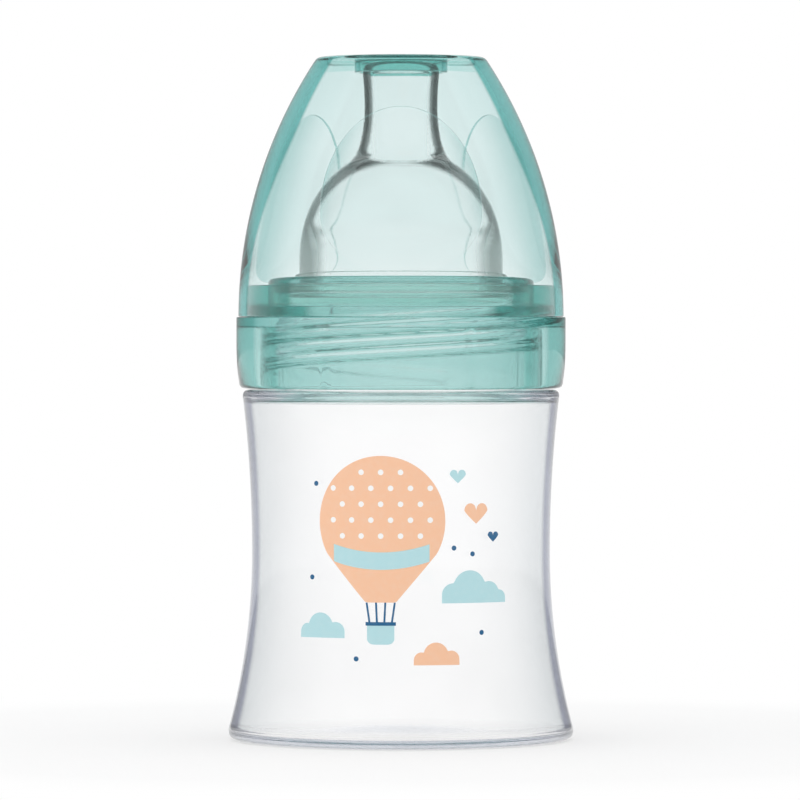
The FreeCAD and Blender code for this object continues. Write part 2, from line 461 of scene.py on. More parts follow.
class Outline:
    """A half-section of a turned piece, drawn by radius and height in millimetres."""

    def __init__(self, radius: float, height: float) -> None:
        """Start the outline at a radius and height."""
        self.points = [Vector((radius, height))]
        self.rounds: dict[int, float] = {}

    def line(self, radius: float, height: float, parts: int = 1, rounded: float = 0.0) -> None:
        """Draw a straight run.

        Args:
            radius: radius of its end.
            height: height of its end.
            parts: the number of equal parts it is cut into.
            rounded: how far the corner at its end is rounded.
        """
        start = self.points[-1]
        end = Vector((radius, height))
        self.points += [start.lerp(end, step / parts) for step in range(1, parts + 1)]
        self.mark(rounded)

    def arc(self, radius: float, height: float, heading: Heading, parts: int,
            arriving: bool = False, rounded: float = 0.0) -> None:
        """Draw an arc that leaves its start, or arrives at its end, along a heading.

        Args:
            radius: radius of its end.
            height: height of its end.
            heading: the way it runs there.
            parts: the number of parts it is cut into.
            arriving: whether the heading holds at its end.
            rounded: how far the corner at its end is rounded.
        """
        ends = [self.points[-1], Vector((radius, height))]
        tangent = Vector(heading.value)
        if arriving:
            ends.reverse()
            tangent = -tangent
        chord = ends[1] - ends[0]
        normal = Vector((-tangent.y, tangent.x))
        reach = chord.length_squared / (2 * chord.dot(normal))
        centre = ends[0] + normal * reach
        first = ends[0] - centre
        sweep = first.angle_signed(ends[1] - centre)
        arc = [centre + Matrix.Rotation(-sweep * step / parts, 2) @ first for step in range(parts + 1)]
        if arriving:
            arc.reverse()
        self.points += arc[1:]
        self.mark(rounded)

    def curve(self, dome: "Dome", end: float, depth: float, parts: int, rounded: float = 0.0) -> None:
        """Follow a dome from the last point's height to another.

        Args:
            dome: the dome.
            end: height of the curve's end.
            depth: how deep the curve lies under the dome's outside.
            parts: the number of parts it is cut into.
            rounded: how far the corner at its end is rounded.
        """
        start = self.points[-1].y
        for step in range(1, parts + 1):
            height = start + (end - start) * step / parts
            self.points.append(Vector((dome.radius_at(height, depth), height)))
        self.mark(rounded)

    def mark(self, rounded: float) -> None:
        """Note that the corner at the last point is rounded."""
        if rounded:
            self.rounds[len(self.points) - 1] = rounded

    def cut(self, corner: int, reach: float, way: int) -> tuple[Vector, int]:
        """Walk along the outline from a corner.

        Args:
            corner: the corner's number.
            reach: how far to walk.
            way: 1 for onwards, -1 for backwards.

        Returns:
            The point that is reached, and the number of the first point past it.
        """
        left = reach
        index = corner
        while True:
            step = self.points[index + way] - self.points[index]
            if step.length >= left:
                return self.points[index] + step * (left / step.length), index + way
            left -= step.length
            index += way

    def finished(self, parts: int = 12) -> list[Vector]:
        """Round the marked corners.

        Args:
            parts: the number of parts of each rounding.

        Returns:
            The outline's points, in metres.
        """
        for corner in sorted(self.rounds, reverse=True):
            before, low = self.cut(corner, self.rounds[corner], -1)
            after, high = self.cut(corner, self.rounds[corner], 1)
            tip = self.points[corner]
            bend = []
            for step in range(parts + 1):
                share = step / parts
                bend.append(before.lerp(tip, share).lerp(tip.lerp(after, share), share))
            self.points = self.points[:low + 1] + bend + self.points[high:]
        self.rounds = {}
        return [point * MM for point in self.points]


@dataclass(frozen=True)
class Dome:
    """An arc that starts upright at its foot and leans in to its top, in millimetres."""

    foot_radius: float
    foot_height: float
    top_radius: float
    top_height: float

    def arc_radius(self) -> float:
        """Radius of the arc."""
        draw_in = self.foot_radius - self.top_radius
        return ((self.top_height - self.foot_height) ** 2 + draw_in ** 2) / (2 * draw_in)

    def radius_at(self, height: float, depth: float) -> float:
        """Radius at a height, this deep under the dome's outside."""
        arc = self.arc_radius()
        rise = height - self.foot_height
        return self.foot_radius - arc + math.sqrt((arc - depth) ** 2 - rise ** 2)

    def height_at(self, radius: float, depth: float) -> float:
        """Height at a radius, this deep under the dome's outside."""
        arc = self.arc_radius()
        reach = radius - self.foot_radius + arc
        return self.foot_height + math.sqrt((arc - depth) ** 2 - reach ** 2)


def turned(name: str, outline: Outline, steps: int) -> bpy.types.Object:
    """Turn a half-section about the upright axis.

    Args:
        name: the piece's name.
        outline: the section; where both its ends lie on the axis, it stays open there.
        steps: parts of a full turn.

    Returns:
        The closed piece.
    """
    points = outline.finished()
    bpy.ops.object.select_all(action="DESELECT")
    bpy.ops.mesh.primitive_circle_add(vertices=len(points), radius=1.0)
    piece = bpy.context.object
    piece.name = name
    mesh = piece.data
    for vertex, point in zip(mesh.vertices, points):
        vertex.co = (point.x, 0.0, point.y)
    last = len(points) - 1
    for part in (mesh.vertices, mesh.edges, mesh.polygons):
        part.foreach_set("select", [False] * len(part))
    on_axis = points[0].x < MERGE_DISTANCE and points[last].x < MERGE_DISTANCE
    for edge in mesh.edges:
        edge.select = on_axis and set(edge.vertices) == {0, last}
    bpy.ops.object.mode_set(mode="EDIT")
    bpy.ops.mesh.select_mode(type="EDGE")
    if on_axis:
        bpy.ops.mesh.delete(type="EDGE")
    bpy.ops.mesh.select_all(action="SELECT")
    bpy.ops.mesh.spin(steps=steps, angle=TAU, center=(0, 0, 0), axis=(0, 0, 1))
    bpy.ops.mesh.select_all(action="SELECT")
    bpy.ops.mesh.remove_doubles(threshold=MERGE_DISTANCE)
    bpy.ops.mesh.normals_make_consistent(inside=False)
    bpy.ops.object.mode_set(mode="OBJECT")
    bpy.ops.object.shade_smooth_by_angle(angle=SMOOTH_ANGLE)
    return piece


def subtract(piece: bpy.types.Object, tool: bpy.types.Object) -> None:
    """Cut one solid out of another, and remove it.

    Args:
        piece: the solid that is cut.
        tool: the solid that is cut away.
    """
    cut = piece.modifiers.new("cut", "BOOLEAN")
    cut.operation = "DIFFERENCE"
    cut.solver = "EXACT"
    cut.object = tool
    bpy.ops.object.select_all(action="DESELECT")
    bpy.context.view_layer.objects.active = piece
    piece.select_set(True)
    bpy.ops.object.modifier_apply(modifier=cut.name)
    bpy.data.objects.remove(tool)


def mark_faces(piece: bpy.types.Object, name: str, values: list[float]) -> None:
    """Write a mark on each face of a piece.

    Args:
        piece: the piece.
        name: the mark's name.
        values: its value on each face.
    """
    mark = piece.data.attributes.new(name, "FLOAT", "FACE")
    mark.data.foreach_set("value", values)


def shift_wall(piece: bpy.types.Object, radius: float, rise: Marker) -> None:
    """Move the points of an upright wall away from the axis.

    Args:
        piece: a turned piece.
        radius: the wall's radius in millimetres.
        rise: how far a point moves in millimetres, by its angle from +X in radians and its height.
    """
    for vertex in piece.data.vertices:
        flat = Vector((vertex.co.x, vertex.co.y))
        if abs(flat.length - radius * MM) <= MERGE_DISTANCE:
            reach = rise(math.atan2(flat.y, flat.x), vertex.co.z / MM) * MM
            vertex.co.x, vertex.co.y = flat * (1 + reach / flat.length)


def dress(piece: bpy.types.Object, finish: ClearFinish, body: str, band: Marker,
          deep: Marker) -> None:
    """Give a piece its finish, its body and its slot, and mark where its painted rim shade starts and the
    faces whose colour is deeper.

    Args:
        piece: the piece; only faces that look away from the axis get a rim of painted shade.
        finish: its finish.
        body: the body that it moves with.
        band: how far a face turns aside where its rim of painted shade starts, by radius and height.
        deep: 1 on faces of thick places, by radius and height.
    """
    starts, depths = [], []
    for face in piece.data.polygons:
        radial = Vector((face.center.x, face.center.y, 0.0))
        radius, height = radial.length / MM, face.center.z / MM
        outward = face.normal.dot(radial.normalized())
        # Faces that look away from the axis carry where their painted rim shade starts.
        starts.append(band(radius, height) if outward > finish.rim_from else NO_BAND)
        depths.append(deep(radius, height))
    mark_faces(piece, RIM_SHADE_MARK, starts)
    mark_faces(piece, DEEP_MARK, depths)
    piece.data.materials.clear()
    piece.data.materials.append(finish.material())
    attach(piece, body)
    LOG.info("%s: %d faces", piece.name, len(piece.data.polygons))


@dataclass
class Thread:
    """A screw thread of several ridges, in millimetres; turns count from the +X side."""

    foot: float
    first_turn: float
    last_turn: float
    ridge_width: float
    flank: float
    depth: float
    lead: float = 9.4
    starts: int = 2
    end_length: float = 0.006

    def rise(self, turn: float, height: float) -> float:
        """How far the ridge stands out.

        Args:
            turn: place round the axis, from 0 to 1.
            height: height on the piece.

        Returns:
            The ridge's height there.
        """
        most = 0.0
        for start in range(self.starts):
            over = height - self.foot - self.lead * (turn + start / self.starts)
            full_turns = round(over / self.lead)
            off = abs(over - full_turns * self.lead)
            along = turn + full_turns
            ridge = smooth_step((self.ridge_width / 2 + self.flank - off) / self.flank)
            begin = smooth_step((along - self.first_turn) / self.end_length)
            end = smooth_step((self.last_turn - along) / self.end_length)
            most = max(most, ridge * begin * end)
        return most * self.depth

    def raise_on(self, piece: bpy.types.Object, radius: float, outwards: bool) -> None:
        """Raise the ridges from the upright wall of a turned piece.

        Args:
            piece: the piece.
            radius: the wall's radius.
            outwards: whether the ridges stand away from the axis.
        """
        way = 1.0 if outwards else -1.0
        shift_wall(piece, radius, lambda angle, height: way * self.rise((angle / TAU) % 1.0, height))


@dataclass
class Bottle:
    """The clear waisted bottle, in millimetres."""

    neck_radius: float = 24.6
    neck_bore: float = 22.8
    shoulder_radius: float = 31.8
    shoulder_height: float = 69.9
    shoulder_thickness: float = 1.8
    shoulder_round: float = 1.6
    waist_radius: float = 29.8
    waist_height: float = 37.5
    base_radius: float = 35.1
    foot_round: float = 2.8
    foot_inset: float = 7.6
    wall_at_waist: float = 1.7
    wall_at_ends: float = 1.0
    floor_thickness: float = 1.6
    floor_round: float = 2.0
    push_up: float = 1.8
    deep_share: float = 1 / 3
    corner_round: float = 1.0
    rim_round: float = 0.6
    seat_gap: float = 0.05
    steps: int = 216
    wall_parts: int = 36
    neck_parts: int = 70
    thread: Thread = field(default_factory=lambda: Thread(
        foot=72.6, first_turn=0.18, last_turn=1.36, ridge_width=0.7, flank=0.9, depth=0.7))

    def outline(self) -> Outline:
        """Draw the half-section.

        Returns:
            The section, from the underside's middle round to the floor's middle.
        """
        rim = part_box("bottle")[1].z / MM - self.seat_gap
        ceiling = self.shoulder_height - self.shoulder_thickness
        foot_inside = self.base_radius - self.foot_inset
        section = Outline(0.0, self.push_up)
        section.arc(foot_inside, 0.0, Heading.OUT, parts=16)
        section.line(self.base_radius, 0.0, parts=4, rounded=self.foot_round)
        section.arc(self.waist_radius, self.waist_height, Heading.UP, parts=self.wall_parts, arriving=True)
        section.arc(self.shoulder_radius, self.shoulder_height, Heading.UP, parts=self.wall_parts,
                    rounded=self.shoulder_round)
        section.line(self.neck_radius, self.shoulder_height, parts=4, rounded=self.corner_round)
        section.line(self.neck_radius, rim, parts=self.neck_parts, rounded=self.rim_round)
        section.line(self.neck_bore, rim, rounded=self.rim_round)
        section.line(self.neck_bore, ceiling, parts=6, rounded=self.corner_round)
        section.line(self.shoulder_radius - self.wall_at_ends, ceiling, parts=4, rounded=self.corner_round)
        section.arc(self.waist_radius - self.wall_at_waist, self.waist_height, Heading.DOWN,
                    parts=self.wall_parts, arriving=True)
        section.arc(self.base_radius - self.wall_at_ends, self.floor_thickness, Heading.DOWN,
                    parts=self.wall_parts, rounded=self.floor_round)
        section.line(foot_inside, self.floor_thickness, parts=4)
        section.arc(0.0, self.push_up + self.floor_thickness, Heading.IN, parts=16, arriving=True)
        return section

    def radius_at(self, height: float) -> float:
        """Outer radius of the wall.

        Args:
            height: height in millimetres.

        Returns:
            The radius there, in millimetres.
        """
        below = height < self.waist_height
        end_radius = self.base_radius if below else self.shoulder_radius
        end_height = 0.0 if below else self.shoulder_height
        flare = end_radius - self.waist_radius
        rise = end_height - self.waist_height
        arc = (flare ** 2 + rise ** 2) / (2 * flare)
        return self.waist_radius + arc - math.sqrt(arc ** 2 - (height - self.waist_height) ** 2)

    def deep(self, radius: float, height: float) -> float:
        """Mark the upper side of the pushed-up floor, which is seen edge on and gets a painted milky
        reflection.
        """
        spread = radius / (self.base_radius - self.foot_inset)
        floor = self.floor_thickness + self.push_up * (1 - spread ** 2)
        on_top = abs(height - floor) < self.floor_thickness * self.deep_share
        return float(on_top) * (1 - smooth_step(spread))

    def band(self, radius: float, height: float) -> float:
        """Where the painted grey rim shade of the wall starts: nowhere on the neck, the shoulder and the
        foot.
        """
        on_wall = self.foot_round < height < self.shoulder_height - self.shoulder_round
        return BOTTLE_PLASTIC.edge_from if on_wall else NO_BAND

    def build(self) -> None:
        """Make and dress the bottle."""
        shell = turned("bottle_shell", self.outline(), self.steps)
        self.thread.raise_on(shell, self.neck_radius, outwards=True)
        dress(shell, BOTTLE_PLASTIC, "bottle", band=self.band, deep=self.deep)
        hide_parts("bottle")


@dataclass
class Print:
    """The picture printed on the front of the bottle: a balloon, clouds, hearts and dots, in millimetres.

    Places run from left to right, with 0 at the middle, and upwards from the foot. A cloud has a base and
    the middle, height and radius of each puff, and a heart has a middle and half its width.
    """

    bottle: Bottle
    balloon: Place = (-4.0, 44.5)
    balloon_radius: float = 12.8
    balloon_taper: float = 0.5
    balloon_foot: float = 28.6
    balloon_mouth: float = 3.0
    halvings: int = 30
    dot_radius: float = 0.55
    dot_pitch: float = 3.9
    dot_row_pitch: float = 3.12
    dots_above: float = 1.6
    dot_margin: float = 1.0
    belt: Span = (36.6, 40.0)
    belt_sag: float = 1.6
    belt_inset: float = 0.2
    basket: Span = (20.4, 24.6)
    basket_half: float = 2.7
    basket_round: float = 0.9
    basket_power: int = 6
    brim: Span = (-0.5, 0.2)
    brim_reach: float = 0.3
    ropes: tuple[float, ...] = (-1.0, -0.33, 0.33, 1.0)
    rope_foot: float = 2.2
    rope_head: float = 2.79
    rope_width: float = 0.4
    rope_parts: int = 8
    clouds: tuple[tuple[Ink, float, tuple[Point, ...]], ...] = (
        (Ink.AQUA, 28.4, ((10.4, 30.0, 2.3), (14.0, 31.2, 3.6), (18.3, 30.0, 2.6), (20.9, 29.3, 1.6))),
        (Ink.AQUA, 21.6, ((-19.6, 22.7, 1.7), (-16.6, 23.7, 2.8), (-13.2, 22.8, 1.9))),
        (Ink.PEACH, 16.4, ((4.0, 17.4, 1.5), (6.9, 18.3, 2.5), (10.0, 17.5, 1.7))))
    hearts: tuple[tuple[Ink, Place, float], ...] = (
        (Ink.PEACH, (15.4, 46.5), 2.6), (Ink.NAVY, (19.4, 41.6), 1.3), (Ink.AQUA, (11.4, 53.6), 1.7))
    heart_lobe: float = 0.5
    lobe_stretch: float = 1.1
    point_power: float = 0.85
    specks: tuple[Place, ...] = (
        (10.6, 39.2), (14.6, 38.0), (-18.6, 33.4), (-17.6, 51.8), (-8.9, 17.6), (16.6, 22.6))
    speck_radius: float = 0.5
    layer: float = 0.03
    thickness: float = 0.03
    pieces: dict[Ink, list[bpy.types.Object]] = field(default_factory=dict)

    def wrapped(self, place: Place, layer: int) -> Vector:
        """Lay a point of the flat picture on the wall of the bottle.

        Args:
            place: the point.
            layer: the order in which it is printed.

        Returns:
            The point on the wall, in metres.
        """
        across, height = place
        radius = self.bottle.radius_at(height) + self.layer * layer
        angle = across / radius
        return Vector((radius * math.sin(angle), -radius * math.cos(angle), height)) * MM

    def sheet(self, ink: Ink, drawn: Callable[[float, float], Place], layer: int, columns: int,
              rows: int) -> None:
        """Print a thin sheet of ink.

        Args:
            ink: its colour.
            drawn: its points, by the share of the way from left to right and from bottom to top.
            layer: the order in which it is printed.
            columns: the number of parts from left to right.
            rows: the number of parts from bottom to top.
        """
        bpy.ops.object.select_all(action="DESELECT")
        bpy.ops.mesh.primitive_grid_add(x_subdivisions=columns, y_subdivisions=rows, size=2.0)
        piece = bpy.context.object
        for vertex in piece.data.vertices:
            vertex.co = self.wrapped(drawn((1 + vertex.co.x) / 2, (1 + vertex.co.y) / 2), layer)
        bpy.ops.object.mode_set(mode="EDIT")
        bpy.ops.mesh.select_all(action="SELECT")
        bpy.ops.mesh.remove_doubles(threshold=MERGE_DISTANCE)
        bpy.ops.object.mode_set(mode="OBJECT")
        wall = piece.modifiers.new("wall", "SOLIDIFY")
        wall.thickness = self.thickness * MM
        wall.offset = 0.0
        bpy.ops.object.modifier_apply(modifier=wall.name)
        self.pieces.setdefault(ink, []).append(piece)

    def patch(self, ink: Ink, span: Span, low: Edge, high: Edge, layer: int = 1, columns: int = 40,
              rows: int = 10) -> None:
        """Print one shape, drawn by its lower and upper edge.

        Args:
            ink: its colour.
            span: where it starts and ends from left to right.
            low: height of its lower edge, by place from left to right.
            high: height of its upper edge.
            layer: the order in which it is printed.
            columns: the number of parts from left to right.
            rows: the number of parts from bottom to top.
        """
        def drawn(across: float, up: float) -> Place:
            """A point of the shape, whose columns lie closer towards both sides."""
            place = span[0] + (span[1] - span[0]) * (1 - math.cos(across * math.pi)) / 2
            return place, low(place) + (high(place) - low(place)) * up

        self.sheet(ink, drawn, layer, columns, rows)

    def stroke(self, ink: Ink, start: Place, end: Place) -> None:
        """Print a steep line of the rope's width.

        Args:
            ink: its colour.
            start: its lower end.
            end: its upper end.
        """
        def drawn(across: float, up: float) -> Place:
            """A point of the line."""
            place = start[0] + (end[0] - start[0]) * up + self.rope_width * (across - 0.5)
            return place, start[1] + (end[1] - start[1]) * up

        self.sheet(ink, drawn, 1, 1, self.rope_parts)

    def disc(self, ink: Ink, centre: Place, radius: float, layer: int = 1) -> None:
        """Print a round dot.

        Args:
            ink: its colour.
            centre: its middle.
            radius: its radius.
            layer: the order in which it is printed.
        """
        def half(place: float) -> float:
            """Half the dot's height at a place."""
            return math.sqrt(max(radius ** 2 - (place - centre[0]) ** 2, 0.0))

        span = (centre[0] - radius, centre[0] + radius)
        self.patch(ink, span, lambda x: centre[1] - half(x), lambda x: centre[1] + half(x), layer,
                   columns=14, rows=4)

    def heart(self, ink: Ink, centre: Place, size: float) -> None:
        """Print a heart.

        Args:
            ink: its colour.
            centre: its middle.
            size: half its width.
        """
        def high(place: float) -> float:
            """Its two lobes."""
            off = abs(place - centre[0]) / size - self.heart_lobe
            lobe = math.sqrt(max(self.heart_lobe ** 2 - off ** 2, 0.0))
            return centre[1] + size * lobe * self.lobe_stretch

        def low(place: float) -> float:
            """Its point."""
            off = abs(place - centre[0]) / size
            return centre[1] - size * max(1 - off, 0.0) ** self.point_power

        self.patch(ink, (centre[0] - size, centre[0] + size), low, high)

    def cloud(self, ink: Ink, base: float, puffs: tuple[Point, ...]) -> None:
        """Print a cloud with a flat base.

        Args:
            ink: its colour.
            base: height of its base.
            puffs: middle, height and radius of each round puff.
        """
        def high(place: float) -> float:
            """The highest puff at a place."""
            tops = [height + math.sqrt(radius ** 2 - (place - middle) ** 2)
                    for middle, height, radius in puffs if abs(place - middle) <= radius]
            return max(tops, default=base)

        span = (min(m - r for m, _, r in puffs), max(m + r for m, _, r in puffs))
        self.patch(ink, span, lambda x: base, high, columns=72)

    def half_width(self, height: float) -> float:
        """Half the balloon's width.

        Args:
            height: height on the bottle.

        Returns:
            Half its width there.
        """
        reach = height - self.balloon[1]
        shoulder = -self.balloon_taper * self.balloon_radius
        if reach > shoulder:
            return math.sqrt(max(self.balloon_radius ** 2 - reach ** 2, 0.0))
        widest = math.sqrt(self.balloon_radius ** 2 - shoulder ** 2)
        share = (height - self.balloon_foot) / (self.balloon[1] + shoulder - self.balloon_foot)
        return self.balloon_mouth + (widest - self.balloon_mouth) * share

    def balloon_low(self, place: float) -> float:
        """Height of the balloon's lower edge.

        Args:
            place: from left to right.

        Returns:
            The height there, found by halving.
        """
        off = abs(place - self.balloon[0])
        low, high = self.balloon_foot, self.balloon[1]
        if off <= self.balloon_mouth:
            return low
        for _ in range(self.halvings):
            middle = (low + high) / 2
            low, high = (low, middle) if self.half_width(middle) > off else (middle, high)
        return high

    def balloon_high(self, place: float) -> float:
        """Height of the balloon's upper edge at a place."""
        off = place - self.balloon[0]
        return self.balloon[1] + math.sqrt(max(self.balloon_radius ** 2 - off ** 2, 0.0))

    def basket_low(self, place: float) -> float:
        """Height of the basket's lower edge at a place."""
        off = abs(place - self.balloon[0]) / self.basket_half
        return self.basket[0] + self.basket_round * off ** self.basket_power

    def draw_belt(self) -> None:
        """Print the belt that sags across the balloon."""
        middle = self.balloon[0]
        half = self.half_width(self.belt[0]) - self.belt_inset

        def sag(place: float) -> float:
            """How far the belt sags at a place."""
            return self.belt_sag * (1 - ((place - middle) / half) ** 2)

        self.patch(Ink.AQUA, (middle - half, middle + half),
                   lambda x: max(self.belt[0] - sag(x), self.balloon_low(x)),
                   lambda x: self.belt[1] - sag(x), layer=2, rows=4)

    def draw_dots(self) -> None:
        """Print rows of dots above the belt, every other row shifted by half a pitch."""
        rows = int(2 * self.balloon_radius / self.dot_pitch) + 2
        most = int(self.balloon_radius / self.dot_pitch) + 1
        for row in range(rows):
            height = self.belt[1] + self.dots_above + row * self.dot_row_pitch
            for column in range(-most, most + 1):
                place = self.balloon[0] + (column + 0.5 * (row % 2)) * self.dot_pitch
                off = math.hypot(place - self.balloon[0], height - self.balloon[1])
                if off < self.balloon_radius - self.dot_margin:
                    self.disc(Ink.WHITE, (place, height), self.dot_radius, layer=2)

    def draw_balloon(self) -> None:
        """Print the balloon with its belt, dots, ropes and basket."""
        middle = self.balloon[0]
        span = (middle - self.balloon_radius, middle + self.balloon_radius)
        self.patch(Ink.PEACH, span, self.balloon_low, self.balloon_high, columns=64, rows=24)
        self.draw_belt()
        self.draw_dots()
        for side in self.ropes:
            self.stroke(Ink.NAVY, (middle + side * self.rope_foot, self.basket[1]),
                        (middle + side * self.rope_head, self.balloon_foot))
        self.patch(Ink.AQUA, (middle - self.basket_half, middle + self.basket_half), self.basket_low,
                   lambda x: self.basket[1], columns=24, rows=6)
        reach = self.basket_half + self.brim_reach
        self.patch(Ink.NAVY, (middle - reach, middle + reach), lambda x: self.basket[1] + self.brim[0],
                   lambda x: self.basket[1] + self.brim[1], layer=2, columns=16, rows=2)

    def join(self, ink: Ink) -> None:
        """Join all that is printed in one colour, and dress it.

        Args:
            ink: the colour.
        """
        bpy.ops.object.select_all(action="DESELECT")
        for piece in self.pieces[ink]:
            piece.select_set(True)
        bpy.context.view_layer.objects.active = self.pieces[ink][0]
        bpy.ops.object.join()
        whole = bpy.context.object
        whole.name = f"print_{ink.value}"
        bpy.ops.object.shade_smooth_by_angle(angle=SMOOTH_ANGLE)
        # Faces that look towards the axis get the ink's painted glow.
        inside = [face.normal.x * face.center.x + face.normal.y * face.center.y < 0
                  for face in whole.data.polygons]
        mark_faces(whole, INSIDE_MARK, [float(mark) for mark in inside])
        whole.data.materials.append(INKS[ink].material())
        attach(whole, "bottle")
        LOG.info("%s: %d faces", whole.name, len(whole.data.polygons))

    def build(self) -> None:
        """Print the picture, one piece for each colour."""
        self.draw_balloon()
        for ink, base, puffs in self.clouds:
            self.cloud(ink, base, puffs)
        for ink, centre, size in self.hearts:
            self.heart(ink, centre, size)
        for place in self.specks:
            self.disc(Ink.NAVY, place, self.speck_radius)
        for ink in self.pieces:
            self.join(ink)


@dataclass
class ScrewRing:
    """The translucent ring with its sleeve, skirt, snap boss and plate, in millimetres.

    The angles of its ribs are in degrees, and count from the front.
    """

    sleeve_bore: float = 26.2
    sleeve_radius: float = 27.9
    sleeve_setback: float = 0.5
    groove_radius: float = 28.9
    groove_draft: float = 0.6
    groove_top: float = 82.5
    ring_radius: float = 32.9
    skirt_bottom_radius: float = 32.2
    skirt_taper_height: float = 8.5
    skirt_round: float = 0.9
    seat_height: float = 84.4
    boss_radius: float = 31.0
    boss_bore: float = 29.9
    boss_top: float = 90.75
    boss_round: float = 0.5
    moat_bottom: float = 86.4
    plate_radius: float = 26.6
    plate_bottom: float = 91.25
    plate_round: float = 1.2
    hole_radius: float = 20.7
    soft_corner: float = 0.25
    boss_band: float = 0.40
    foot_band: float = 0.15
    steps: int = 216
    sleeve_parts: int = 60
    ribs: int = 6
    first_rib_angle: float = -31.67
    rib_half_angle: float = 0.9
    rib_height: float = 0.7
    thread: Thread = field(default_factory=lambda: Thread(
        foot=70.25, first_turn=0.05, last_turn=1.2, ridge_width=0.5, flank=0.9, depth=0.8))

    def outline(self) -> Outline:
        """Draw the half-section.

        Returns:
            The closed section.
        """
        bottom, top = (corner.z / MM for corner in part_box("screw_ring"))
        soft = self.soft_corner
        sleeve_bottom = bottom + self.sleeve_setback
        section = Outline(self.sleeve_bore, self.plate_bottom)
        section.line(self.sleeve_bore, sleeve_bottom, parts=self.sleeve_parts, rounded=soft)
        section.line(self.sleeve_radius, sleeve_bottom, parts=2, rounded=soft)
        section.line(self.sleeve_radius, self.groove_top, parts=8, rounded=soft)
        section.line(self.groove_radius, self.groove_top, rounded=soft)
        section.line(self.groove_radius + self.groove_draft, bottom, parts=8, rounded=soft)
        section.line(self.skirt_bottom_radius, bottom, parts=2, rounded=self.skirt_round)
        section.arc(self.ring_radius, bottom + self.skirt_taper_height, Heading.UP, parts=8, arriving=True)
        section.line(self.ring_radius, self.seat_height, parts=4, rounded=soft)
        section.line(self.boss_radius, self.seat_height, parts=2, rounded=soft)
        section.line(self.boss_radius, self.boss_top, parts=6, rounded=self.boss_round)
        section.line(self.boss_bore, self.boss_top, parts=2, rounded=soft)
        section.line(self.boss_bore, self.moat_bottom, parts=4, rounded=soft)
        section.line(self.plate_radius, self.moat_bottom, parts=2, rounded=soft)
        section.line(self.plate_radius, top, parts=6, rounded=self.plate_round)
        section.line(self.hole_radius, top, parts=4, rounded=soft)
        section.line(self.hole_radius, self.plate_bottom, parts=2)
        return section

    def deep(self, radius: float, height: float) -> float:
        """Mark the boss and the plate above the cap's seat."""
        return float(height > self.seat_height and radius > self.hole_radius)

    def band(self, radius: float, height: float) -> float:
        """Where the painted rim shade starts: soonest at the foot of the boss."""
        if height > self.moat_bottom:
            return self.boss_band
        return self.foot_band if height > self.seat_height else TEAL_RING.edge_from

    def raise_ribs(self, ring: bpy.types.Object) -> None:
        """Raise the upright ribs on the outside of the sleeve.

        Args:
            ring: the turned ring.
        """
        pitch = 360 / self.ribs

        def rise(angle: float, _: float) -> float:
            """How far the wall rises, by the angle from +X."""
            past_first = math.degrees(angle) - FRONT_ANGLE - self.first_rib_angle
            off = abs((past_first + pitch / 2) % pitch - pitch / 2)
            return self.rib_height if off < self.rib_half_angle else 0.0

        shift_wall(ring, self.sleeve_radius, rise)

    def build(self) -> None:
        """Make and dress the ring."""
        ring = turned("screw_ring_shell", self.outline(), self.steps)
        self.raise_ribs(ring)
        self.thread.raise_on(ring, self.sleeve_bore, outwards=False)
        dress(ring, TEAL_RING, "ring", band=self.band, deep=self.deep)
        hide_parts("screw_ring")


